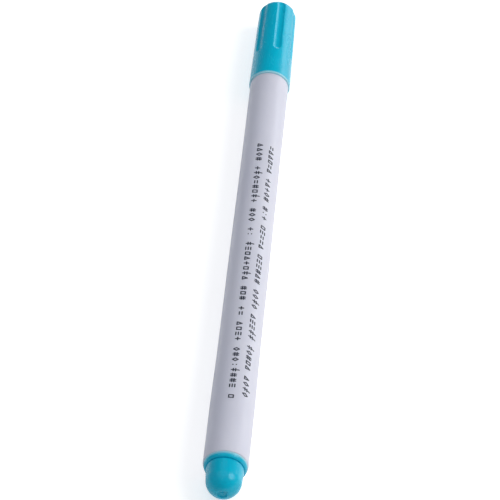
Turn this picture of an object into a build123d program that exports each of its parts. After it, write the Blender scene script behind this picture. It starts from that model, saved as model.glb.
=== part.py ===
from build123d import *
import os

# A fibre-tipped marking pen, lying along X. The capped nib points to +X and the plugged rear to -X.
# The origin is on the pen's axis, at the barrel's rear face. Lengths are millimetres, +Z is up.

# Barrel
barrel_length = 109.6          # rear face to the shoulder that the cap meets
rear_band_radius = 4.45        # straight band at the rear, where a holder grips
rear_band_length = 14.0
waist_x = 28.0
waist_radius = 4.31
middle_x = 58.0
middle_radius = 4.25
front_x = 90.0
front_radius = 4.14            # straight from here to the shoulder
shoulder_round = 0.2
rear_bore_radius = 3.55
front_bore_radius = 3.35
bore_end = 108.0
bore_rib_count = 6
bore_rib_width = 0.6
bore_rib_start = 12.0

# Neck, the reduced front end that the cap slides over
neck_radius = 3.65
neck_end = 117.5
neck_bore_radius = 2.85
neck_chamfer = 0.3
grip_ring_x = 113.7
grip_ring_half_width = 0.5
grip_ring_height = 0.05

# End plug
flange_radius = 4.32
flange_length = 1.1
flange_rear_radius = 3.88
flange_bulge_x = -0.74
flange_bulge_radius = 4.18
groove_radius = 3.6
groove_width = 0.16
dome_base_radius = 3.74
dome_radius = 3.55
dome_centre = -3.94
plug_wall = 1.0
recess_radius = 1.0
recess_depth = 0.35
gate_radius = 0.25
gate_height = 0.12
spigot_length = 7.5
spigot_clearance = 0.03
spigot_chamfer = 0.3
crush_rib_count = 6
crush_rib_width = 0.5
press_interference = 0.03

# Nib holder
holder_back = 110.0
holder_flange_radius = 3.1
holder_flange_end = 118.6
seat_radius = 2.6
seat_end = 121.5
cone_end = 127.0
cone_tip_radius = 1.45
holder_well_radius = 1.9
holder_well_end = 115.2

# Nib
nib_radius = 1.0
nib_back = 101.0
nib_taper_start = 128.0
nib_tip_radius = 0.5
nib_tip = 130.6
nib_clearance = 0.03

# Reservoir: a fibre core in a plastic wrap, with a breather tube under the wrap
core_back = 16.0
core_front = 107.6
core_radius = 2.9
wrap_gap = 0.02
wrap_thickness = 0.1
wrap_overhang = 0.5
rib_gap = 0.04
tube_radius = 0.45
tube_wall = 0.17
tube_gap = 0.03
tube_height = 2.42
tube_overhang = 2.5

# Inner cap, the sealing cup over the nib holder's seat
inner_cap_mouth = 119.0
inner_cap_radius = 3.2
inner_cap_bore_radius = 2.63
inner_cap_bore_end = 131.6
inner_cap_end = 132.3
snap_ring_x = 127.1
snap_ring_half_width = 0.7
snap_ring_crest = 0.3
snap_ring_height = 0.12

# Outer cap
turning_gap = 0.05
cap_mouth = 109.65
cap_end = 135.0
cap_mouth_radius = 4.43
cap_crown_radius = 4.05
cap_crown_round = 2.1
cap_lip_round = 0.2
skirt_bore_radius = 3.75
skirt_bore_end = 117.9
skirt_lead_in = 0.25
flute_count = 6
flute_angle = 14.0             # first flute, from +Z towards -Y
flute_radius = 1.3
flute_depth = 0.45
flute_start = 117.6


def turned(*lines):
    """Turn a closed half-outline, drawn in XY with Y as the radius, about the X axis."""
    edges = [edge for line in lines for edge in line.edges()]
    return revolve(make_face(edges), axis=Axis.X)


def rod(start, end, radius, height=0.0):
    """A straight round rod along X, at a height above the pen's axis."""
    plane = Plane(origin=(start, 0, height), z_dir=(1, 0, 0))
    return extrude(plane * Circle(radius), amount=end - start)


def radial_ribs(count, start, end, inner, outer, width):
    """Lengthwise ribs between two radii, spaced evenly round the axis."""
    ribs = []
    for index in range(count):
        block = Box(end - start, width, outer - inner)
        block = Pos((start + end) / 2, 0, (inner + outer) / 2) * block
        ribs.append(Rot(X=360 / count * index) * block)
    return ribs


def cap_radius(x):
    """Outer radius of the cap's straight taper at x."""
    share = (x - cap_mouth) / (cap_end - cap_mouth)
    return cap_mouth_radius + (cap_crown_radius - cap_mouth_radius) * share


def make_barrel():
    shoulder_x = barrel_length - shoulder_round
    ring_rear = grip_ring_x - grip_ring_half_width
    ring_front = grip_ring_x + grip_ring_half_width
    round_start = (shoulder_x, front_radius)
    round_end = (barrel_length, front_radius - shoulder_round)
    rear = Polyline(
        (spigot_length + 1, rear_bore_radius),
        (0, rear_bore_radius),
        (0, rear_band_radius),
        (rear_band_length, rear_band_radius),
    )
    taper = Spline(
        (rear_band_length, rear_band_radius),
        (waist_x, waist_radius),
        (middle_x, middle_radius),
        (front_x, front_radius),
        tangents=[(1, 0), (1, 0)],
    )
    front = Line((front_x, front_radius), round_start)
    shoulder = RadiusArc(round_start, round_end, shoulder_round)
    neck_rear = Polyline(round_end, (barrel_length, neck_radius), (ring_rear, neck_radius))
    ring = ThreePointArc(
        (ring_rear, neck_radius),
        (grip_ring_x, neck_radius + grip_ring_height),
        (ring_front, neck_radius),
    )
    neck_front = Polyline(
        (ring_front, neck_radius),
        (neck_end - neck_chamfer, neck_radius),
        (neck_end, neck_radius - neck_chamfer),
        (neck_end, neck_bore_radius),
        (bore_end, neck_bore_radius),
        (bore_end, front_bore_radius),
        (spigot_length + 1, rear_bore_radius),
    )
    shell = turned(rear, taper, front, shoulder, neck_rear, ring, neck_front)
    wrap_radius = core_radius + wrap_gap + wrap_thickness
    rib_foot = (front_bore_radius + front_radius) / 2
    ribs = radial_ribs(
        bore_rib_count, bore_rib_start, bore_end, wrap_radius + rib_gap, rib_foot, bore_rib_width
    )
    return shell + ribs


def make_end_plug():
    spigot_radius = rear_bore_radius - spigot_clearance
    inner_radius = dome_radius - plug_wall
    rim_x = dome_centre - (dome_radius**2 - recess_radius**2) ** 0.5
    floor_x = rim_x + recess_depth
    hollow_end = floor_x + plug_wall
    hollow_centre = hollow_end + inner_radius
    groove_rear = -flange_length - groove_width
    half_way = 0.5**0.5
    spigot = Polyline(
        (hollow_centre, inner_radius),
        (spigot_length, inner_radius),
        (spigot_length, spigot_radius - spigot_chamfer),
        (spigot_length - spigot_chamfer, spigot_radius),
        (0, spigot_radius),
        (0, flange_radius),
    )
    flange = ThreePointArc(
        (0, flange_radius),
        (flange_bulge_x, flange_bulge_radius),
        (-flange_length, flange_rear_radius),
    )
    step = Polyline(
        (-flange_length, flange_rear_radius),
        (-flange_length, groove_radius),
        (groove_rear, groove_radius),
        (groove_rear, dome_base_radius),
        (dome_centre, dome_radius),
    )
    dome = ThreePointArc(
        (dome_centre, dome_radius),
        (dome_centre - dome_radius * half_way, dome_radius * half_way),
        (rim_x, recess_radius),
    )
    recess = Polyline(
        (rim_x, recess_radius),
        (floor_x, recess_radius),
        (floor_x, gate_radius),
        (floor_x - gate_height, gate_radius),
        (floor_x - gate_height, 0),
        (hollow_end, 0),
    )
    hollow = ThreePointArc(
        (hollow_end, 0),
        (hollow_centre - inner_radius * half_way, inner_radius * half_way),
        (hollow_centre, inner_radius),
    )
    body = turned(spigot, flange, step, dome, recess, hollow)
    ribs = radial_ribs(
        crush_rib_count,
        1,
        spigot_length - 1,
        inner_radius + spigot_chamfer,
        rear_bore_radius + press_interference,
        crush_rib_width,
    )
    return body + ribs


def make_nib_holder():
    body_radius = neck_bore_radius - 0.02
    ring_half = grip_ring_half_width
    bore = nib_radius + nib_clearance
    back = Polyline(
        (holder_back, holder_well_radius),
        (holder_back, body_radius - neck_chamfer),
        (holder_back + neck_chamfer, body_radius),
        (grip_ring_x - ring_half, body_radius),
    )
    ring = ThreePointArc(
        (grip_ring_x - ring_half, body_radius),
        (grip_ring_x, neck_bore_radius + press_interference),
        (grip_ring_x + ring_half, body_radius),
    )
    front = Polyline(
        (grip_ring_x + ring_half, body_radius),
        (neck_end, body_radius),
        (neck_end, holder_flange_radius),
        (holder_flange_end, holder_flange_radius),
        (holder_flange_end, seat_radius),
        (seat_end, seat_radius),
        (cone_end, cone_tip_radius),
        (cone_end, bore),
        (holder_well_end + holder_well_radius - bore, bore),
        (holder_well_end, holder_well_radius),
        (holder_back, holder_well_radius),
    )
    return turned(back, ring, front)


def make_nib():
    shank = Polyline(
        (nib_tip, 0),
        (nib_back, 0),
        (nib_back, nib_radius),
        (nib_taper_start, nib_radius),
        (nib_tip - nib_tip_radius, nib_tip_radius),
    )
    tip = RadiusArc((nib_tip - nib_tip_radius, nib_tip_radius), (nib_tip, 0), nib_tip_radius)
    return turned(shank, tip)


def make_reservoir_core():
    socket_radius = nib_radius + nib_clearance
    groove_radius = tube_radius + tube_gap
    core = rod(core_back, core_front, core_radius)
    core -= rod(nib_back - 0.1, core_front, socket_radius)
    core -= rod(core_back, core_front, groove_radius, tube_height)
    slot = Box(core_front - core_back, 2 * groove_radius, core_radius)
    core -= Pos((core_back + core_front) / 2, 0, tube_height + core_radius / 2) * slot
    return core


def make_reservoir_wrap():
    inner = core_radius + wrap_gap
    wrap_back = core_back - wrap_overhang
    wrap = rod(wrap_back, core_front, inner + wrap_thickness)
    return wrap - rod(wrap_back, core_front, inner)


def make_breather_tube():
    tube_back = core_back - tube_overhang
    tube = rod(tube_back, core_front, tube_radius, tube_height)
    return tube - rod(tube_back, core_front, tube_radius - tube_wall, tube_height)


def make_inner_cap():
    ring_rear = snap_ring_x - snap_ring_half_width
    ring_front = snap_ring_x + snap_ring_half_width
    crest = inner_cap_radius + snap_ring_height
    outline = Polyline(
        (inner_cap_mouth, inner_cap_bore_radius),
        (inner_cap_mouth, inner_cap_radius),
        (ring_rear, inner_cap_radius),
        (snap_ring_x - snap_ring_crest, crest),
        (snap_ring_x + snap_ring_crest, crest),
        (ring_front, inner_cap_radius),
        (inner_cap_end - 0.3, inner_cap_radius),
        (inner_cap_end, inner_cap_radius - 0.3),
        (inner_cap_end, 0),
        (inner_cap_bore_end, 0),
        (inner_cap_bore_end, inner_cap_bore_radius - 0.2),
        (inner_cap_bore_end - 0.2, inner_cap_bore_radius),
        (inner_cap_mouth, inner_cap_bore_radius),
    )
    return turned(outline)


def make_flute():
    """One flute cutter above the axis: a round rod with a ball end, following the cap's taper."""
    start_x = flute_start + flute_radius
    end_x = cap_end + flute_radius
    lift = flute_radius - flute_depth
    start = Vector(start_x, 0, cap_radius(start_x) + lift)
    end = Vector(end_x, 0, cap_radius(end_x) + lift)
    plane = Plane(origin=start, z_dir=end - start)
    shaft = extrude(plane * Circle(flute_radius), amount=(end - start).length)
    return shaft + Pos(start) * Sphere(flute_radius)


def make_outer_cap():
    pocket = inner_cap_radius + turning_gap
    groove = pocket + snap_ring_height
    crown_x = cap_end - cap_crown_round
    lip_top = (cap_mouth + cap_lip_round, cap_radius(cap_mouth + cap_lip_round))
    lip_face = (cap_mouth, cap_mouth_radius - cap_lip_round)
    crown_edge = (crown_x, cap_radius(crown_x))
    crown_face = (cap_end, cap_radius(crown_x) - cap_crown_round)
    lip = RadiusArc(lip_face, lip_top, cap_lip_round)
    side = Line(lip_top, crown_edge)
    crown = RadiusArc(crown_edge, crown_face, cap_crown_round)
    inside = Polyline(
        crown_face,
        (cap_end, 0),
        (inner_cap_end + turning_gap, 0),
        (inner_cap_end + turning_gap, pocket),
        (snap_ring_x + snap_ring_half_width + turning_gap, pocket),
        (snap_ring_x + snap_ring_crest + turning_gap, groove),
        (snap_ring_x - snap_ring_crest - turning_gap, groove),
        (snap_ring_x - snap_ring_half_width - turning_gap, pocket),
        (skirt_bore_end + skirt_bore_radius - pocket, pocket),
        (skirt_bore_end, skirt_bore_radius),
        (cap_mouth + skirt_lead_in, skirt_bore_radius),
        (cap_mouth, skirt_bore_radius + skirt_lead_in),
        lip_face,
    )
    cap = turned(lip, side, crown, inside)
    flute = make_flute()
    for index in range(flute_count):
        cap -= Rot(X=flute_angle + 360 / flute_count * index) * flute
    return cap


nodes = {
    "barrel": make_barrel(),
    "end_plug": make_end_plug(),
    "nib_holder": make_nib_holder(),
    "nib": make_nib(),
    "ink_reservoir": make_reservoir_core(),
    "reservoir_wrap": make_reservoir_wrap(),
    "breather_tube": make_breather_tube(),
    "inner_cap": make_inner_cap(),
    "outer_cap": make_outer_cap(),
}

os.makedirs("parts", exist_ok=True)
for name, shape in nodes.items():
    export_step(shape, f"parts/{name}.step")
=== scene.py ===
import math
import random

import bmesh
import bpy
import numpy as np
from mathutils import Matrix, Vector


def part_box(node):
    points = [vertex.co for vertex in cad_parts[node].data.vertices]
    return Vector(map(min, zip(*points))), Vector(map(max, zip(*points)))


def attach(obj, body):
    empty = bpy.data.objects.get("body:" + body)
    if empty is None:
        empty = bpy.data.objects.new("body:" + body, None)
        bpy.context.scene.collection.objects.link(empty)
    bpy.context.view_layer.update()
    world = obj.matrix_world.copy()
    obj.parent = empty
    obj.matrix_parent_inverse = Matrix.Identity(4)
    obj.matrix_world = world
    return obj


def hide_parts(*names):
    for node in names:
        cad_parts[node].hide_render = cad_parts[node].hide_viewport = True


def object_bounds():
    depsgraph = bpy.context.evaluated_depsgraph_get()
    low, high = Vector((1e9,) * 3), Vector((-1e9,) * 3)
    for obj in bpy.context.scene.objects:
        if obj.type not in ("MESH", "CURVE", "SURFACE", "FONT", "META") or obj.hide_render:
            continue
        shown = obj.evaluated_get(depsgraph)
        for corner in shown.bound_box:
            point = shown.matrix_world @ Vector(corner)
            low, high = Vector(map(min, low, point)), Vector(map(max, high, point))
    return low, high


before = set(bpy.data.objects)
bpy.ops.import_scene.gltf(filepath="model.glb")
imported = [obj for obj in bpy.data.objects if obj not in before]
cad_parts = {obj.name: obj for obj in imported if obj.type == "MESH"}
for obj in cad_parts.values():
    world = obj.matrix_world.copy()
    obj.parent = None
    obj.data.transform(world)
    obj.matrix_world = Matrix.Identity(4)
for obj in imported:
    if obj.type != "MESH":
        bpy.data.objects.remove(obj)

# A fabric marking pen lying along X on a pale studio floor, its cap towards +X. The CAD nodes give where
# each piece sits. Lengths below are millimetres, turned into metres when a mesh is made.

cad_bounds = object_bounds()
MM = 0.001


def span_mm(node):
    """Where a CAD node starts and ends along X, in millimetres."""
    low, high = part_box(node)
    return low.x / MM, high.x / MM


# ---------------------------------------------------------------- dimensions

NECK_END = span_mm("barrel")[1]
SPIGOT_END = span_mm("end_plug")[1]
CAP_MOUTH, CAP_END = span_mm("outer_cap")
LINER_MOUTH, LINER_END = span_mm("inner_cap")
HOLDER_BACK, HOLDER_TIP = span_mm("nib_holder")
NIB_BACK, NIB_TIP = span_mm("nib")

SHOULDER = CAP_MOUTH - 0.05
REAR_RADIUS = 4.45
FRONT_RADIUS = 4.14
BARREL_STATIONS = (
    (0, REAR_RADIUS), (14, REAR_RADIUS), (28, 4.31), (58, 4.25), (90, FRONT_RADIUS), (SHOULDER, FRONT_RADIUS),
)
NECK_RADIUS = 3.65
NECK_BORE = 2.85
REAR_BORE = 3.55
REAR_BORE_DEPTH = 9
FRONT_BORE = 3.35
BORE_END = 108.0
SNAP_RING_X = 113.7
SNAP_RING_HEIGHT = 0.05

FLANGE_RADIUS = 4.32
FLANGE_LENGTH = 1.1
FLANGE_REAR_RADIUS = 3.88
GROOVE_RADIUS = 3.6
DOME_BASE_RADIUS = 3.74
DOME_RADIUS = 3.55
DOME_CENTRE = -3.94
RECESS_RADIUS = 1.0
RECESS_FLOOR = -6.99
PLUG_BORE = 2.55
PLUG_WALL = 1.0
FLANGE_SINK = 0.02

CAP_MOUTH_RADIUS = 4.43
CAP_CROWN_RADIUS = 4.05
CAP_CROWN_ROUND = 2.1
CAP_SKIRT_BORE = 3.75
CAP_SKIRT_END = 117.9
CAP_POCKET = 3.25
CAP_GATE_RADIUS = 1.0
CAP_GATE_DEPTH = 0.18
FLUTE_COUNT = 6
FLUTE_ANGLE = 14.0
FLUTE_RADIUS = 1.3
FLUTE_DEPTH = 0.45
FLUTE_START = 117.6
FLUTE_EDGE_ROUND = 0.12

LINER_RADIUS = 3.2
LINER_BORE = 2.63
LINER_WALL = 0.7
LINER_RIB_X = 127.1
LINER_RIB_HEIGHT = 0.12

HOLDER_PRESS_RADIUS = 2.83
HOLDER_COLLAR_RADIUS = 3.1
HOLDER_COLLAR_END = 118.6
HOLDER_SEAT_RADIUS = 2.6
HOLDER_SEAT_END = 121.5
HOLDER_TIP_RADIUS = 1.45
HOLDER_BACK_BORE = 1.9
HOLDER_BORE = 1.03

NIB_RADIUS = 1.0
NIB_TAPER_START = 128.0
NIB_TAPER = 0.5
NIB_TAPER_LENGTH = 2.1
NIB_TIP_RADIUS = 0.5

# The print: pads of ink standing PRINT_LIFT proud of the barrel and sunk into it by PRINT_SINK.
PRINT_LIFT = 0.01
PRINT_SINK = 0.03
PRINT_STROKE = 0.27
PRINT_PITCH = 1.42
PRINT_HEIGHT = 1.12
PRINT_START = 86.9

# The studio, in metres. The floor lies a hair below the pen.
PEN_CENTRE = Vector((0.0591, 0.0001, 0.0))
FLOOR_Z = cad_bounds[0][2] - 0.00001
FLOOR_HALF_SIZE = 1.5
FLOOR_LIFT = 0.6
# Glow of the floor in reflections on the pen, a painted reflection; FLOOR_LIFT is its even glow to the
# camera.
PAINTED_REFLECTION_LIFT = 0.7
KEY_DIRECTION = Vector((0.0, -0.74, 0.673))
TOP_DIRECTION = Vector((0.1, 0.1, 0.98))
BACK_DIRECTION = Vector((0.9, -0.42, 0.15))
FLAG_DIRECTION = (0.7, 0.1, 0.7)
WARM_WHITE = (1.0, 0.99, 0.97)
COOL_WHITE = (0.97, 0.985, 1.0)
CAMERA_ELEVATION = math.radians(44.8)
CAMERA_AZIMUTH = math.radians(4.66)
CAMERA_DISTANCE = 0.6314
CAMERA_LENS = 220.5


# ---------------------------------------------------------------- mesh making

def hermite(stations, x):
    """A smooth curve through (x, value) stations, flat at both ends and wherever they level off or turn."""
    xs = np.array([s[0] for s in stations], float)
    ys = np.array([s[1] for s in stations], float)
    slopes = np.diff(ys) / np.diff(xs)
    tangents = np.zeros(len(xs))
    tangents[1:-1] = np.where(slopes[1:] * slopes[:-1] > 0, (slopes[1:] + slopes[:-1]) / 2, 0)
    i = int(np.clip(np.searchsorted(xs, x) - 1, 0, len(xs) - 2))
    width = xs[i + 1] - xs[i]
    t = (x - xs[i]) / width
    rise = ys[i + 1] - ys[i]
    a = tangents[i] * width - rise
    b = rise - tangents[i + 1] * width
    return ys[i] + t * rise + t * (1 - t) * (a * (1 - t) + b * t)


def barrel_radius(x):
    return hermite(BARREL_STATIONS, x)


def cap_radius(x):
    share = (x - CAP_MOUTH) / (CAP_END - CAP_MOUTH)
    return CAP_MOUTH_RADIUS + (CAP_CROWN_RADIUS - CAP_MOUTH_RADIUS) * share


def rounded(corners, steps=6):
    """An outline from (x, radius) or (x, radius, fillet) corners, with each fillet drawn as an arc."""
    points = []
    for index, corner in enumerate(corners):
        here = np.array(corner[:2], float)
        fillet = corner[2] if len(corner) > 2 else 0
        if not fillet:
            points.append(tuple(here))
            continue
        before = np.array(corners[index - 1][:2], float) - here
        after = np.array(corners[(index + 1) % len(corners)][:2], float) - here
        before /= np.linalg.norm(before)
        after /= np.linalg.norm(after)
        half = math.acos(float(np.clip(before @ after, -1, 1))) / 2
        reach = fillet / math.tan(half)
        middle = (before + after) / np.linalg.norm(before + after)
        centre = here + middle * fillet / math.sin(half)
        first = here + before * reach - centre
        last = here + after * reach - centre
        turn = math.atan2(first[0] * last[1] - first[1] * last[0], first @ last)
        for step in range(steps + 1):
            angle = turn * step / steps
            c, s = math.cos(angle), math.sin(angle)
            turned_x = first[0] * c - first[1] * s
            turned_r = first[0] * s + first[1] * c
            points.append((centre[0] + turned_x, centre[1] + turned_r))
    return points


def arc(centre_x, centre_r, radius, start_deg, end_deg, steps):
    """Points on a circle in the half-outline plane. Angle 0 points to +X, 90 outwards."""
    angles = np.radians(np.linspace(start_deg, end_deg, steps + 1))
    return [(centre_x + radius * math.cos(a), centre_r + radius * math.sin(a)) for a in angles]


def split_long(points, longest):
    """Extra points on the straight stretches of a closed outline, none further apart than longest."""
    dense = []
    for here, there in zip(points, points[1:] + points[:1]):
        count = max(1, math.ceil(math.dist(here, there) / longest))
        for step in range(count):
            share = step / count
            x = here[0] + (there[0] - here[0]) * share
            r = here[1] + (there[1] - here[1]) * share
            dense.append((x, r))
    return dense


def even_angles(count):
    return [math.tau * k / count for k in range(count)]


def on_pen(x, radius, angle):
    """The place, in metres, of a point at a radius from the pen's axis. Angles run from +Z towards -Y."""
    return (x * MM, -radius * math.sin(angle) * MM, radius * math.cos(angle) * MM)


def turned(name, outline, angles, shape=None):
    """A closed solid turned about X from a closed half-outline. shape(x, r, angle) may change a point's
    radius."""
    mesh = bpy.data.meshes.new(name)
    bm = bmesh.new()
    rings = []
    for x, r in outline:
        if r < 1e-6:
            rings.append([bm.verts.new((x * MM, 0, 0))])
            continue
        ring = []
        for angle in angles:
            radius = shape(x, r, angle) if shape else r
            ring.append(bm.verts.new(on_pen(x, radius, angle)))
        rings.append(ring)
    for ring, following in zip(rings, rings[1:] + rings[:1]):
        if len(ring) == 1 and len(following) == 1:
            continue
        for k in range(len(angles)):
            n = (k + 1) % len(angles)
            if len(ring) == 1:
                bm.faces.new((ring[0], following[k], following[n]))
            elif len(following) == 1:
                bm.faces.new((ring[n], ring[k], following[0]))
            else:
                bm.faces.new((ring[k], following[k], following[n], ring[n]))
    bmesh.ops.recalc_face_normals(bm, faces=bm.faces)
    bm.to_mesh(mesh)
    bm.free()
    return finish_mesh(name, mesh)


def finish_mesh(name, mesh):
    """Link a mesh as a piece, smooth-shaded except across sharp corners."""
    mesh.polygons.foreach_set("use_smooth", [True] * len(mesh.polygons))
    mesh.set_sharp_from_angle(angle=math.radians(40))
    piece = bpy.data.objects.new(name, mesh)
    bpy.context.scene.collection.objects.link(piece)
    return piece


def add_piece(piece, body, material, slot, *nodes):
    """Give a piece its material, let it ride a body, and hide the CAD nodes that it stands for. slot is not
    used.
    """
    piece.data.materials.append(material)
    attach(piece, body)
    if nodes:
        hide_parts(*nodes)
    return piece


# ---------------------------------------------------------------- pieces

def make_barrel():
    """The tube, its open rear end and its neck with the low ring that the cap snaps over."""
    outer = [(x, barrel_radius(x)) for x in np.linspace(2, SHOULDER - 1, 160)]
    rear = rounded([
        (REAR_BORE_DEPTH, REAR_BORE),
        (0, REAR_BORE, 0.15),
        (0, REAR_RADIUS, 0.2),
        (REAR_BORE_DEPTH, REAR_RADIUS),
    ])[1:-1]
    ring_top = NECK_RADIUS + SNAP_RING_HEIGHT
    front = rounded([
        (SHOULDER - 1, FRONT_RADIUS),
        (SHOULDER, FRONT_RADIUS, 0.1),
        (SHOULDER, NECK_RADIUS, 0.12),
        (SNAP_RING_X - 0.6, NECK_RADIUS, 0.4),
        (SNAP_RING_X - 0.15, ring_top, 0.3),
        (SNAP_RING_X + 0.15, ring_top, 0.3),
        (SNAP_RING_X + 0.6, NECK_RADIUS, 0.4),
        (NECK_END, NECK_RADIUS, 0.3),
        (NECK_END, NECK_BORE, 0.1),
        (BORE_END, NECK_BORE),
    ])[1:-1]
    inner = [(BORE_END, NECK_BORE), (BORE_END - 0.2, FRONT_BORE), (REAR_BORE_DEPTH, REAR_BORE)]
    return turned("barrel_tube", split_long(rear + outer + front + inner, 3), even_angles(256))


def make_end_plug():
    """The plug, outline from its spigot round the flange, the groove and the dome to the hollow inside."""
    spigot_radius = REAR_BORE - 0.03
    hollow_end = RECESS_FLOOR + PLUG_WALL
    groove_rear = -FLANGE_LENGTH - 0.16
    bulge = [(-0.2, 4.31), (-0.45, 4.27), (-0.74, 4.18), (-0.95, 4.05)]
    rim_x = DOME_CENTRE - math.sqrt(DOME_RADIUS**2 - RECESS_RADIUS**2)
    dome = arc(DOME_CENTRE, 0, DOME_RADIUS, 90, 180 - 22, 28)
    tail = rounded([
        dome[-2],
        (rim_x, RECESS_RADIUS, 0.2),
        (RECESS_FLOOR, RECESS_RADIUS - 0.1, 0.15),
        (RECESS_FLOOR, 0.32, 0.08),
        (RECESS_FLOOR - 0.12, 0.25, 0.05),
        (RECESS_FLOOR - 0.1, 0),
    ])[1:]
    hollow = arc(hollow_end + PLUG_BORE, 0, PLUG_BORE, 180, 90, 16)
    front = rounded([
        hollow[-1],
        (SPIGOT_END, PLUG_BORE, 0.1),
        (SPIGOT_END, spigot_radius, 0.3),
        (FLANGE_SINK, spigot_radius),
        (FLANGE_SINK, FLANGE_RADIUS - 0.01, 0.12),
        bulge[0],
    ])[1:-1]
    step = rounded([
        bulge[-1],
        (-FLANGE_LENGTH, FLANGE_REAR_RADIUS, 0.1),
        (-FLANGE_LENGTH, GROOVE_RADIUS, 0.04),
        (groove_rear, GROOVE_RADIUS, 0.04),
        (groove_rear, DOME_BASE_RADIUS, 0.06),
        dome[0],
    ])[1:-1]
    outline = front + bulge + step + dome[:-1] + tail + hollow
    return turned("end_plug_moulding", split_long(outline, 1), even_angles(256))


def flute_shape(x, r, angle):
    """The cap's radius with its flutes cut in: round rods with ball ends, their edges slightly eased."""
    pitch = math.tau / FLUTE_COUNT
    offset = (angle - math.radians(FLUTE_ANGLE) + pitch / 2) % pitch - pitch / 2
    centre = cap_radius(min(x, CAP_END)) + FLUTE_RADIUS - FLUTE_DEPTH
    ball = max(0, FLUTE_START + FLUTE_RADIUS - x)
    side = centre * math.sin(offset)
    left = FLUTE_RADIUS**2 - ball**2 - side**2
    cut = centre * math.cos(offset) - math.sqrt(left) if left > 0 else centre - left
    blend = max(0.0, FLUTE_EDGE_ROUND - abs(r - cut)) / FLUTE_EDGE_ROUND
    return min(r, cut) - blend * blend * FLUTE_EDGE_ROUND / 4


def cap_angles():
    """Angles round the cap, closer together across each flute than on the lands between."""
    flute_half = 17.5
    pitch = 360 / FLUTE_COUNT
    angles = []
    for index in range(FLUTE_COUNT):
        middle = FLUTE_ANGLE + index * pitch
        angles += list(np.linspace(middle - flute_half, middle + flute_half, 41))
        angles += list(np.linspace(middle + flute_half, middle + pitch - flute_half, 18))[1:-1]
    return [math.radians(a) for a in angles]


def make_outer_cap():
    """The cap, outline from its pocket's floor through the mouth, along the outside and over the crown."""
    crown_x = CAP_END - CAP_CROWN_ROUND
    crown_r = cap_radius(crown_x)
    lip_end = CAP_MOUTH + 3
    lip = rounded([(CAP_MOUTH, 3.9), (CAP_MOUTH, CAP_MOUTH_RADIUS, 0.26), (lip_end, cap_radius(lip_end))])
    skirt = [(x, cap_radius(x)) for x in np.linspace(CAP_MOUTH + 0.6, FLUTE_START - 0.3, 12)]
    fluted = [(x, cap_radius(x)) for x in np.linspace(FLUTE_START, FLUTE_START + 1.5, 36)]
    fluted += [(x, cap_radius(x)) for x in np.linspace(FLUTE_START + 1.6, crown_x, 60)]
    crown = arc(crown_x, crown_r - CAP_CROWN_ROUND, CAP_CROWN_ROUND, 89, 0, 36)
    gate = rounded([
        (CAP_END, CAP_GATE_RADIUS + 0.4),
        (CAP_END, CAP_GATE_RADIUS + 0.1, 0.1),
        (CAP_END - CAP_GATE_DEPTH, CAP_GATE_RADIUS, 0.1),
        (CAP_END - CAP_GATE_DEPTH, 0),
    ])
    inside = rounded([
        (LINER_END + 0.05, 0),
        (LINER_END + 0.05, CAP_POCKET, 0.2),
        (LINER_RIB_X + 0.75, CAP_POCKET),
        (LINER_RIB_X + 0.35, CAP_POCKET + LINER_RIB_HEIGHT),
        (LINER_RIB_X - 0.35, CAP_POCKET + LINER_RIB_HEIGHT),
        (LINER_RIB_X - 0.75, CAP_POCKET),
        (CAP_SKIRT_END + 0.5, CAP_POCKET, 0.15),
        (CAP_SKIRT_END, CAP_SKIRT_BORE, 0.15),
        (CAP_MOUTH + 0.25, CAP_SKIRT_BORE, 0.1),
        (CAP_MOUTH, CAP_SKIRT_BORE + 0.2, 0.08),
        (CAP_MOUTH, CAP_SKIRT_BORE + 0.35),
    ])

    def shape(x, r, angle):
        outside = x > FLUTE_START - 0.3 and (r > CAP_POCKET + 0.2 or x > LINER_END + 0.1)
        return flute_shape(x, r, angle) if outside else r

    outline = inside[:-1] + lip[1:-1] + skirt + fluted + crown + gate
    return turned("outer_cap_shell", outline, cap_angles(), shape)


def make_inner_cap():
    """The sealing cup, with a low rib round it that the cap's pocket holds."""
    rib_radius = LINER_RADIUS + LINER_RIB_HEIGHT
    outline = rounded([
        (LINER_MOUTH, LINER_BORE, 0.1),
        (LINER_MOUTH, LINER_RADIUS, 0.15),
        (LINER_RIB_X - 0.7, LINER_RADIUS, 0.1),
        (LINER_RIB_X - 0.3, rib_radius, 0.1),
        (LINER_RIB_X + 0.3, rib_radius, 0.1),
        (LINER_RIB_X + 0.7, LINER_RADIUS, 0.1),
        (LINER_END, LINER_RADIUS, 0.3),
        (LINER_END, 0),
        (LINER_END - LINER_WALL, 0),
        (LINER_END - LINER_WALL, LINER_BORE, 0.3),
    ])
    return turned("inner_cap_liner", split_long(outline, 1.5), even_angles(160))


def make_nib_holder():
    """The front section: a part pressed into the neck, a collar, a round seat for the liner and a cone."""
    outline = rounded([
        (HOLDER_BACK, HOLDER_BACK_BORE, 0.1),
        (HOLDER_BACK, HOLDER_PRESS_RADIUS, 0.3),
        (NECK_END, HOLDER_PRESS_RADIUS),
        (NECK_END, HOLDER_COLLAR_RADIUS, 0.1),
        (HOLDER_COLLAR_END, HOLDER_COLLAR_RADIUS, 0.15),
        (HOLDER_COLLAR_END, HOLDER_SEAT_RADIUS, 0.08),
        (HOLDER_SEAT_END, HOLDER_SEAT_RADIUS, 0.5),
        (HOLDER_TIP, HOLDER_TIP_RADIUS, 0.18),
        (HOLDER_TIP, HOLDER_BORE, 0.08),
        (116.1, HOLDER_BORE),
        (115.2, HOLDER_BACK_BORE, 0.1),
    ])
    return turned("nib_holder_cone", split_long(outline, 0.8), even_angles(160))


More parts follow.
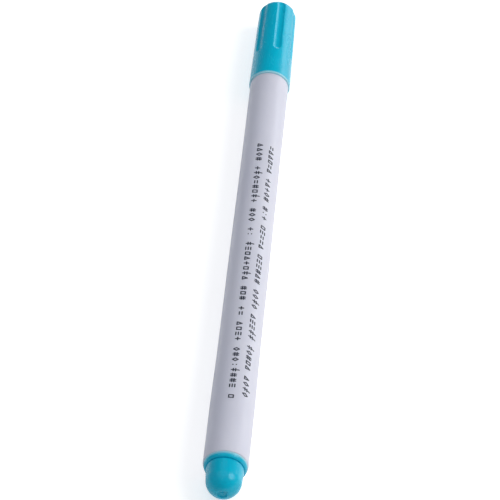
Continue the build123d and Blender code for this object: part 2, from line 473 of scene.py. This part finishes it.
def make_nib():
    """The nib: a ground bullet point on a fibre rod, with the fibres standing as fine grooves."""
    taper = np.linspace(NIB_TAPER_START + 0.1, NIB_TIP - NIB_TIP_RADIUS, 18)
    outline = [(NIB_BACK, 0), (NIB_BACK, NIB_RADIUS - 0.1), (NIB_BACK + 0.1, NIB_RADIUS)]
    outline += [(x, NIB_RADIUS) for x in np.linspace(NIB_BACK + 1, NIB_TAPER_START - 1.5, 20)]
    outline += [(x, NIB_RADIUS) for x in np.linspace(NIB_TAPER_START - 1.4, NIB_TAPER_START, 12)]
    outline += [(x, NIB_RADIUS - NIB_TAPER * (x - NIB_TAPER_START) / NIB_TAPER_LENGTH) for x in taper]
    outline += arc(NIB_TIP - NIB_TIP_RADIUS, 0, NIB_TIP_RADIUS, 80, 0, 10)
    rng = random.Random(5)
    waves = [(rng.randint(9, 40), rng.uniform(0, math.tau), rng.uniform(0.2, 1.0)) for _ in range(14)]

    def shape(x, r, angle):
        fibres = sum(a * math.sin(n * angle + p + 0.35 * math.sin(x * 1.7 + p)) for n, p, a in waves)
        return r - 0.0035 * abs(fibres) * min(1, r / NIB_TIP_RADIUS)

    return turned("nib_fibre", outline, even_angles(160), shape)


# ---------------------------------------------------------------- printed marks

# Each mark is a few strokes (across, up, across, up), from a start to an end, in units of the print's height.
SQUARE = ((0.02, 0.1, 0.62, 0.1), (0.62, 0.1, 0.62, 0.9), (0.62, 0.9, 0.02, 0.9), (0.02, 0.9, 0.02, 0.1))
DIAMOND = ((0.32, 0, 0.66, 0.5), (0.66, 0.5, 0.32, 1), (0.32, 1, 0, 0.5), (0, 0.5, 0.32, 0))
TRIANGLE = ((0, 0.08, 0.66, 0.08), (0.66, 0.08, 0.33, 0.95), (0.33, 0.95, 0, 0.08))
CROSS = ((0, 0.5, 0.64, 0.5), (0.32, 0.1, 0.32, 0.9))
DOUBLE_BAR = ((0, 0.26, 0.64, 0.26), (0, 0.74, 0.64, 0.74))
TRIPLE_BAR = ((0, 0.05, 0.64, 0.05), (0, 0.5, 0.64, 0.5), (0, 0.95, 0.64, 0.95))
HASH = ((0.12, 0.02, 0.12, 0.98), (0.52, 0.02, 0.52, 0.98), (-0.04, 0.3, 0.68, 0.3), (-0.04, 0.7, 0.68, 0.7))
TALL_BAR = ((0.32, 0.02, 0.32, 1.4), (0.02, 0.36, 0.62, 0.36), (0.02, 0.78, 0.62, 0.78))
TWO_DOTS = ((0.28, 0.18, 0.34, 0.18), (0.28, 0.8, 0.34, 0.8))
MARKS = (SQUARE, DIAMOND, TRIANGLE, CROSS, DOUBLE_BAR, TRIPLE_BAR, HASH, TALL_BAR, TWO_DOTS)
MARK_WEIGHTS = (5, 4, 4, 3, 2, 4, 5, 3, 1)


def add_stroke(bm, start, end, top, place):
    """One thin pad of ink between two points of the flat print, wrapped on the barrel by place."""
    length = math.dist(start, end)
    along = ((end[0] - start[0]) / length, (end[1] - start[1]) / length)
    across = (-along[1], along[0])
    half = PRINT_STROKE / 2
    total = length + PRINT_STROKE
    cuts = [0, 0.12, 0.4, 1]
    stations = [half * c for c in cuts] + [total - half * c for c in reversed(cuts)]
    middle = np.linspace(half, total - half, max(2, int(length / 0.12)))[1:-1]
    stations = sorted(set(stations) | set(middle))
    rings = []
    for s in stations:
        edge = min(s, total - s, half)
        width = max(0.02, math.sqrt(max(0, half**2 - (half - edge) ** 2)))
        cx = start[0] + along[0] * (s - half)
        cy = start[1] + along[1] * (s - half)
        ring = []
        for side, lift in ((-1, top), (1, top), (1, -PRINT_SINK), (-1, -PRINT_SINK)):
            offset = width * side
            ring.append(bm.verts.new(place(cx + across[0] * offset, cy + across[1] * offset, lift)))
        rings.append(ring)
    for ring, following in zip(rings, rings[1:]):
        for k in range(4):
            bm.faces.new((ring[k], ring[(k + 1) % 4], following[(k + 1) % 4], following[k]))
    bm.faces.new(rings[0][::-1])
    bm.faces.new(rings[-1])


def print_row(bm, rng, x_end, angle_deg, slant):
    """One row of marks running towards -X: groups of simple marks, with a blank between groups."""
    base = math.radians(angle_deg)

    def place(u, v, lift):
        x = PRINT_START - u
        return on_pen(x, barrel_radius(x) + lift, base + v / barrel_radius(x))

    u = 0.0
    left_in_group = rng.randint(3, 6)
    while u < PRINT_START - x_end:
        if left_in_group == 0:
            left_in_group = rng.randint(2, 8)
            u += PRINT_PITCH
            continue
        mark = rng.choices(MARKS, weights=MARK_WEIGHTS)[0]
        for layer, (u0, v0, u1, v1) in enumerate(mark):
            first = (u + (u0 + slant * v0) * PRINT_HEIGHT, (v0 - 0.5) * PRINT_HEIGHT)
            last = (u + (u1 + slant * v1) * PRINT_HEIGHT, (v1 - 0.5) * PRINT_HEIGHT)
            add_stroke(bm, first, last, PRINT_LIFT + 0.001 * layer, place)
        u += PRINT_PITCH
        left_in_group -= 1


def make_printed_marks():
    """Two rows of generic marks: one upright along the top of the barrel, one slanted down its side."""
    bm = bmesh.new()
    rng = random.Random(21)
    print_row(bm, rng, x_end=13.5, angle_deg=-2, slant=0)
    print_row(bm, rng, x_end=15.3, angle_deg=34, slant=0.3)
    bmesh.ops.recalc_face_normals(bm, faces=bm.faces)
    mesh = bpy.data.meshes.new("printed_marks")
    bm.to_mesh(mesh)
    bm.free()
    return finish_mesh("printed_marks", mesh)


# ---------------------------------------------------------------- materials

class Nodes:
    """A short way to build the node tree of a new material, or of the world."""

    def __init__(self, owner, shader="Principled BSDF"):
        owner.use_nodes = True
        self.owner = owner
        self.tree = owner.node_tree
        self.shader = self.tree.nodes[shader]

    def feed(self, socket, value):
        """Link a socket to another node's output, or give it a plain value."""
        if isinstance(value, bpy.types.NodeSocket):
            self.tree.links.new(value, socket)
        else:
            socket.default_value = value

    def add(self, kind, inputs=None, **settings):
        node = self.tree.nodes.new("ShaderNode" + kind)
        for key, value in settings.items():
            setattr(node, key, value)
        for key, value in (inputs or {}).items():
            self.feed(node.inputs[key], value)
        return node

    def coordinates(self, scale):
        """Object coordinates in millimetres, scaled along each axis."""
        where = self.add("TexCoord").outputs["Object"]
        factors = tuple(s / MM for s in scale)
        return self.add("Mapping", {"Vector": where, "Scale": factors}).outputs["Vector"]

    def noise(self, scale, detail=3, roughness=0.55, distortion=0.0):
        """Noise whose features are about 1 / scale millimetres along each axis."""
        inputs = {
            "Vector": self.coordinates(scale),
            "Scale": 1.0,
            "Detail": detail,
            "Roughness": roughness,
            "Distortion": distortion,
        }
        return self.add("TexNoise", inputs).outputs["Fac"]

    def remap(self, value, low, high, to_low, to_high):
        inputs = {"Value": value, "From Min": low, "From Max": high, "To Min": to_low, "To Max": to_high}
        return self.add("MapRange", inputs).outputs["Result"]

    def math(self, operation, a, b):
        return self.add("Math", {0: a, 1: b}, operation=operation).outputs["Value"]

    def mix(self, factor, a, b):
        """Colour a where factor is 0 and b where it is 1. The sockets are numbered: their names repeat."""
        node = self.add("Mix", {0: factor, 6: a, 7: b}, data_type="RGBA")
        return node.outputs[2]

    def bump(self, height, depth_mm, normal=None):
        """Surface relief with a height of 1 standing depth_mm proud."""
        inputs = {"Height": height, "Distance": depth_mm * MM, "Strength": 1.0}
        if normal is not None:
            inputs["Normal"] = normal
        return self.add("Bump", inputs).outputs["Normal"]

    def set(self, **inputs):
        """Set or link inputs of the shader, with _ for a space in their names."""
        for key, value in inputs.items():
            self.feed(self.shader.inputs[key.replace("_", " ")], value)


def moulded_plastic(
    name, colour, shade, light, roughness, peel_mm, grain_mm, scatter, scatter_mm, scatter_radius,
    gloss=0.5, sheen=(1, 1, 1, 1), painted_glow_rims=(), painted_glow_colour=(1, 1, 1, 1),
):
    """Moulded plastic: pigment drift and specks, orange peel, fine grain, rubbed patches and hairline
    scratches. Near each listed station along X, where the plastic thins to an edge, the colour is mixed
    towards a whitish tint, a painted glow that stands for light showing through the thin plastic there."""
    n = Nodes(bpy.data.materials.new(name))
    drift = n.noise((0.05, 0.12, 0.12), detail=4, distortion=0.6)
    base = n.mix(n.remap(drift, 0.35, 0.65, 0, 1), shade, colour)
    specks = n.remap(n.noise((3, 3, 3), detail=1), 0.72, 0.8, 0, 0.25)
    base = n.mix(specks, base, light)
    along = n.add("SeparateXYZ", {0: n.add("TexCoord").outputs["Object"]}).outputs["X"]
    # Painted glow: near each edge station the colour is mixed towards a whitish tint, standing for light
    # through the thin edge.
    for rim in painted_glow_rims:
        distance = n.math("ABSOLUTE", n.math("SUBTRACT", along, rim * MM), 0)
        base = n.mix(n.remap(distance, 0.15 * MM, 0.6 * MM, 0.85, 0), base, painted_glow_colour)
    rubbed = n.remap(n.noise((0.16, 0.35, 0.35), detail=5, distortion=1.2), 0.4, 0.7, -0.05, 0.07)
    scratches = n.remap(n.noise((0.25, 7, 7), detail=2, roughness=0.7), 0.66, 0.74, 0, 1)
    rough = n.math("ADD", n.math("ADD", rubbed, roughness), n.math("MULTIPLY", scratches, 0.08))
    peel = n.bump(n.noise((0.9, 0.9, 0.9), detail=2), peel_mm)
    grain = n.bump(n.noise((9, 9, 9), detail=2), grain_mm, peel)
    scored = n.bump(n.math("SUBTRACT", 1.0, scratches), 0.0006, grain)
    n.set(Base_Color=base, Roughness=rough, Normal=scored, IOR=1.49)
    n.set(Specular_IOR_Level=gloss, Specular_Tint=sheen)
    n.set(Subsurface_Weight=scatter, Subsurface_Radius=scatter_radius, Subsurface_Scale=scatter_mm * MM)
    return n.owner


def barrel_plastic():
    """Satin white with a cool, faintly lilac cast."""
    return moulded_plastic(
        "barrel_plastic",
        colour=(0.79, 0.795, 0.905, 1),
        shade=(0.755, 0.76, 0.875, 1),
        light=(0.88, 0.88, 0.92, 1),
        roughness=0.36,
        peel_mm=0.006,
        grain_mm=0.0012,
        scatter=0.25,
        scatter_mm=1.2,
        scatter_radius=(1.0, 0.95, 0.9),
    )


def cap_plastic():
    """Turquoise, glossier than the barrel, with a painted whitish glow at the cap's mouth and the front of
    the plug's flange.
    """
    return moulded_plastic(
        "cap_plastic",
        colour=(0.0, 0.57, 0.79, 1),
        shade=(0.0, 0.52, 0.74, 1),
        light=(0.3, 0.78, 0.9, 1),
        roughness=0.24,
        peel_mm=0.004,
        grain_mm=0.0008,
        scatter=0.15,
        scatter_mm=0.6,
        scatter_radius=(0.15, 0.8, 1.0),
        gloss=0.42,
        sheen=(0.7, 0.95, 1.0, 1),
        painted_glow_rims=(CAP_MOUTH, 0),
        painted_glow_colour=(0.5, 0.85, 0.95, 1),
    )


def liner_plastic():
    """Soft milky plastic that lets light in deeper than the others."""
    return moulded_plastic(
        "inner_cap_plastic",
        colour=(0.82, 0.83, 0.82, 1),
        shade=(0.77, 0.79, 0.79, 1),
        light=(0.9, 0.9, 0.9, 1),
        roughness=0.42,
        peel_mm=0.006,
        grain_mm=0.0012,
        scatter=0.5,
        scatter_mm=2.5,
        scatter_radius=(1.0, 1.0, 1.0),
    )


def fibre(name, colour, dark, fineness, depth_mm):
    """Bonded fibre: bundles running along X, stained unevenly with ink, rough and matt."""
    n = Nodes(bpy.data.materials.new(name))
    strands = n.noise((0.3, fineness, fineness), detail=4, roughness=0.7)
    stain = n.noise((0.5, 0.8, 0.8), detail=3)
    base = n.mix(n.remap(strands, 0.35, 0.65, 0, 1), dark, colour)
    base = n.mix(n.remap(stain, 0.4, 0.7, 0, 0.4), base, dark)
    n.set(Base_Color=base, Roughness=n.remap(strands, 0.3, 0.7, 0.7, 0.95), Normal=n.bump(strands, depth_mm))
    n.set(Sheen_Weight=0.3, Sheen_Roughness=0.5)
    return n.owner


def wrap_film():
    """Clear wrinkled film."""
    n = Nodes(bpy.data.materials.new("wrap_film"))
    wrinkles = n.noise((0.2, 1.5, 1.5), detail=3, distortion=0.8)
    n.set(Base_Color=n.mix(wrinkles, (0.82, 0.86, 0.9, 1), (0.9, 0.92, 0.95, 1)))
    n.set(Roughness=n.remap(wrinkles, 0.3, 0.7, 0.08, 0.22), Normal=n.bump(wrinkles, 0.02))
    n.set(Transmission_Weight=0.6, IOR=1.45)
    return n.owner


def print_ink():
    """Matt blue-black ink, thinner and greyer in places where the pad left less."""
    n = Nodes(bpy.data.materials.new("print_ink"))
    cover = n.noise((2.2, 2.2, 2.2), detail=4, roughness=0.7)
    base = n.mix(n.remap(cover, 0.35, 0.75, 0, 1), (0.022, 0.026, 0.045, 1), (0.09, 0.1, 0.14, 1))
    n.set(Base_Color=base, Roughness=n.remap(cover, 0.3, 0.7, 0.45, 0.65))
    n.set(Normal=n.bump(n.noise((8, 8, 8)), 0.003))
    return n.owner


def floor_paper():
    """Pale studio paper. To the camera it glows evenly, brighter than it lights the pen, as an overexposed
    backdrop does. In reflections on the pen it glows as well, a painted reflection that is strongest on the
    key-lit -Y side and half as strong on the shaded +Y side."""
    n = Nodes(bpy.data.materials.new("floor_paper"))
    tooth = n.noise((1.5, 1.5, 1.5), detail=4)
    mottle = n.noise((0.02, 0.02, 0.02), detail=2)
    n.set(Base_Color=n.mix(mottle, (0.86, 0.865, 0.87, 1), (0.88, 0.88, 0.885, 1)))
    n.set(Roughness=0.9, Normal=n.bump(tooth, 0.01))
    ray = n.add("LightPath").outputs
    seen = n.math("MULTIPLY", ray["Is Camera Ray"], FLOOR_LIFT)
    across = n.add("SeparateXYZ", {0: n.add("TexCoord").outputs["Object"]}).outputs["Y"]
    # Painted reflection: in glossy rays the floor glows, strongest on the key-lit -Y side and half as strong
    # on the shaded +Y side.
    lift = n.remap(across, -0.03, 0.01, PAINTED_REFLECTION_LIFT, PAINTED_REFLECTION_LIFT / 2)
    painted_reflection = n.math("MULTIPLY", ray["Is Glossy Ray"], lift)
    n.set(Emission_Color=(1, 1, 1, 1), Emission_Strength=n.math("ADD", seen, painted_reflection))
    return n.owner


# ---------------------------------------------------------------- stage, lights and camera

def make_floor():
    mesh = bpy.data.meshes.new("studio_floor")
    bm = bmesh.new()
    bmesh.ops.create_grid(bm, x_segments=4, y_segments=4, size=FLOOR_HALF_SIZE)
    bm.to_mesh(mesh)
    bm.free()
    floor = bpy.data.objects.new("studio_floor", mesh)
    bpy.context.scene.collection.objects.link(floor)
    floor.location = (0, 0, FLOOR_Z)
    floor.data.materials.append(floor_paper())


def add_softbox(name, direction, distance, width, height, power, colour):
    """An oval area light that faces the pen from a direction. Lengths are metres and power is watts."""
    light = bpy.data.lights.new(name, "AREA")
    light.shape = "ELLIPSE"
    light.size = width
    light.size_y = height
    light.energy = power
    light.color = colour
    lamp = bpy.data.objects.new(name, light)
    lamp.location = PEN_CENTRE + direction.normalized() * distance
    lamp.rotation_euler = direction.to_track_quat("Z", "Y").to_euler()
    bpy.context.scene.collection.objects.link(lamp)


def make_world():
    """Soft bluish surroundings, dimmer towards the camera, with a dark flag in the part that the pen's top
    mirrors to it."""
    n = Nodes(bpy.data.worlds.new("studio"), "Background")
    towards = n.add("TexCoord").outputs["Generated"]
    split = n.add("SeparateXYZ", {0: towards}).outputs
    flag = n.add("VectorMath", {0: towards, 1: FLAG_DIRECTION}, operation="DOT_PRODUCT").outputs["Value"]
    across = n.remap(split["Y"], -0.9, 0.7, 0.33, 0.42)
    strength = n.math("MULTIPLY", across, n.remap(flag, 0.6, 0.95, 1, 0.15))
    strength = n.math("MULTIPLY", strength, n.remap(split["X"], -0.9, 0.3, 0.6, 1.05))
    blue = n.remap(split["Y"], -0.9, 0.7, 0, 1)
    n.set(Color=n.mix(blue, (0.93, 0.955, 1, 1), (0.85, 0.9, 1, 1)), Strength=strength)
    bpy.context.scene.world = n.owner


def make_camera():
    """A long lens looking down along the pen from behind the plug, slightly to the side of -Y."""
    away = Vector((
        -math.cos(CAMERA_ELEVATION) * math.cos(CAMERA_AZIMUTH),
        -math.cos(CAMERA_ELEVATION) * math.sin(CAMERA_AZIMUTH),
        math.sin(CAMERA_ELEVATION),
    ))
    data = bpy.data.cameras.new("camera")
    data.lens = CAMERA_LENS
    data.sensor_width = 36
    data.clip_start = 0.01
    camera = bpy.data.objects.new("camera", data)
    camera.location = PEN_CENTRE + away * CAMERA_DISTANCE
    camera.rotation_euler = away.to_track_quat("Z", "Y").to_euler()
    bpy.context.scene.collection.objects.link(camera)
    bpy.context.scene.camera = camera


# ---------------------------------------------------------------- assembly

white = barrel_plastic()
turquoise = cap_plastic()
nib_ink = fibre("nib_fibre", (0.03, 0.12, 0.42, 1), (0.01, 0.05, 0.25, 1), fineness=12, depth_mm=0.02)
core_ink = fibre("reservoir_fibre", (0.05, 0.18, 0.45, 1), (0.02, 0.08, 0.3, 1), fineness=4, depth_mm=0.05)
film = wrap_film()
add_piece(make_barrel(), "pen_body", white, "barrel_plastic", "barrel")
add_piece(make_end_plug(), "pen_body", turquoise, "cap_plastic", "end_plug")
add_piece(make_nib_holder(), "pen_body", white, "barrel_plastic", "nib_holder")
add_piece(make_nib(), "pen_body", nib_ink, "nib_fibre", "nib")
add_piece(make_printed_marks(), "pen_body", print_ink(), "printed_marks")
add_piece(make_inner_cap(), "cap_liner", liner_plastic(), "inner_cap_plastic", "inner_cap")
add_piece(make_outer_cap(), "cap_shell", turquoise, "cap_plastic", "outer_cap")

for node, material in (("ink_reservoir", core_ink), ("reservoir_wrap", film), ("breather_tube", film)):
    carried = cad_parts[node]
    carried.data.materials.clear()
    carried.data.materials.append(material)

make_floor()
make_world()
add_softbox(
    "key_softbox", KEY_DIRECTION, distance=0.8, width=0.56, height=0.56, power=3.15, colour=WARM_WHITE,
)
add_softbox(
    "top_softbox", TOP_DIRECTION, distance=0.9, width=1.1, height=1.1, power=1.55, colour=COOL_WHITE,
)
add_softbox(
    "back_softbox", BACK_DIRECTION, distance=1.0, width=1.3, height=0.32, power=2.1, colour=COOL_WHITE,
)
make_camera()
bpy.context.scene.view_settings.view_transform = "Standard"
